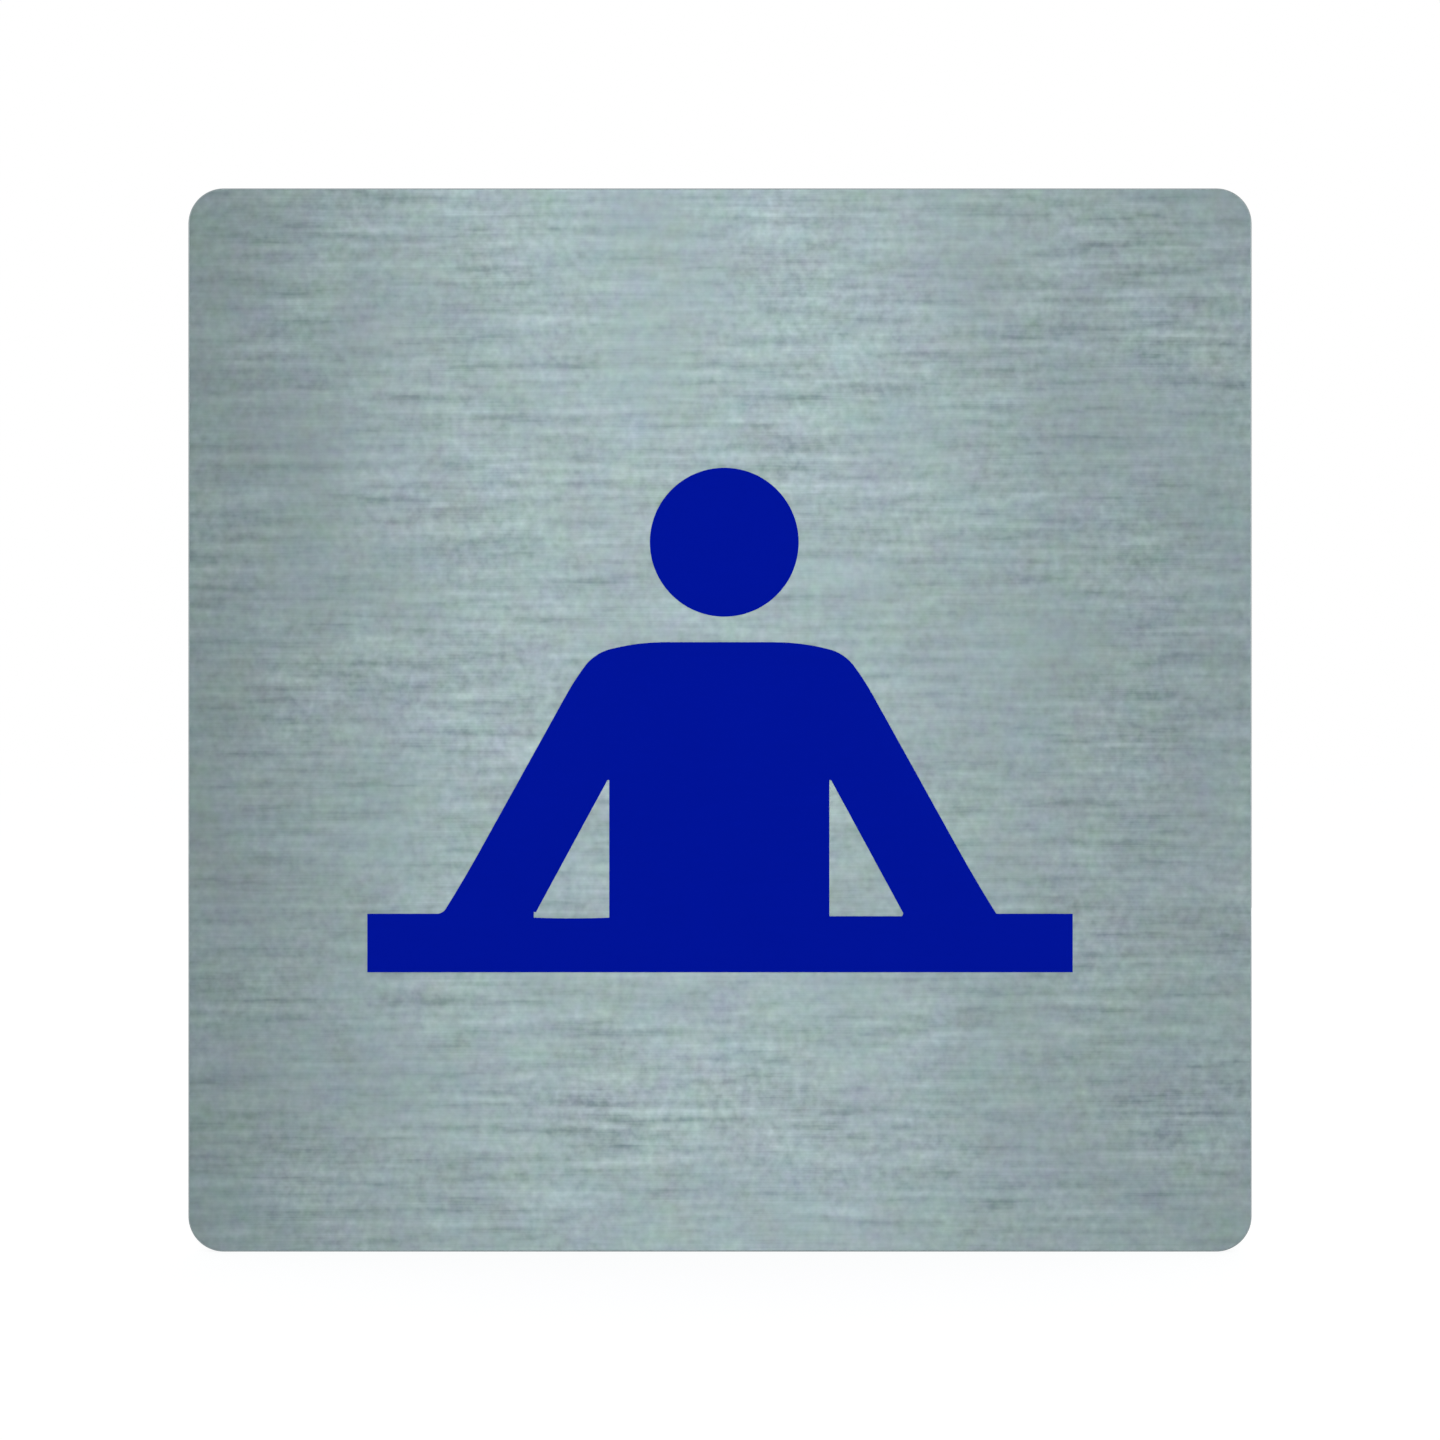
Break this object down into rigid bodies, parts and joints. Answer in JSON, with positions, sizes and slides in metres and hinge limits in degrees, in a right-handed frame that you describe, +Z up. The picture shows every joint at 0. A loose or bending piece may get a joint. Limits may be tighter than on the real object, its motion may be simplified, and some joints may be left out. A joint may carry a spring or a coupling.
{
  "type": "reception sign",
  "caption": "Square brushed-metal wall sign with rounded corners and a blue film pictogram of a figure behind a desk, fixed by foam tape on its back.",
  "frame": {"origin": "middle of the wall side: the centre of the middle tape's outer face", "axes": "+Z up and +X to the reader's right as the sign hangs, the front faces -Y and the wall is at Y = 0"},
  "size_m": [0.15, 0.0026, 0.15],
  "materials": {
    "brushed_metal": "brushed level, matt clear coat",
    "blue_film": "satin",
    "foam_tape": "closed-cell foam with tacky faces"
  },
  "bodies": {
    "root": {"plate": "brushed_metal", "pictogram_figure": "blue_film", "pictogram_head": "blue_film", "tape_left": "foam_tape", "tape_middle": "foam_tape", "tape_right": "foam_tape"}
  },
  "joints": []
}
